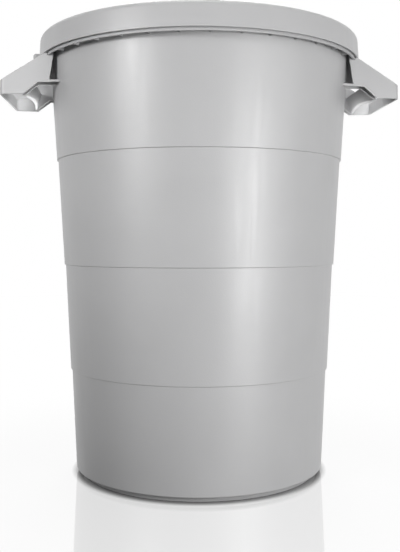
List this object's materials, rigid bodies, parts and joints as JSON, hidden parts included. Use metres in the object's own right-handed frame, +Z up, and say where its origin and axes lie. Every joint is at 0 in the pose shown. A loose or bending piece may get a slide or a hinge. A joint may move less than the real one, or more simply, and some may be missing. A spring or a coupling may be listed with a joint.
{
  "type": "utility bin with lid",
  "caption": "Round tapered plastic utility bin with stepped wall bands, a ribbed rim, hollow loop handles at the sides and a loose dished lid with a grip bar.",
  "frame": {"origin": "on the floor, in the middle of the foot ring", "axes": "+Z up along the axis of the bin, +X towards the right handle, -Y towards the front"},
  "size_m": [0.5804, 0.4836, 0.6648],
  "materials": {
    "bin_plastic": "satin light grey injection-moulded polypropylene",
    "lid_plastic": "satin light grey injection-moulded polypropylene"
  },
  "bodies": {
    "bin": {"bin_body": "bin_plastic", "foot_ring": "bin_plastic", "rim": "bin_plastic", "left_handle": "bin_plastic", "right_handle": "bin_plastic"},
    "lid": {"lid_shell": "lid_plastic", "lid_grip": "lid_plastic", "left_lid_lug": "lid_plastic", "right_lid_lug": "lid_plastic"}
  },
  "joints": [
    {"name": "lid_lift", "type": "slide", "parent": "bin", "child": "lid", "axis": [0, 0, 1], "range_m": [0, 0.15]}
  ]
}
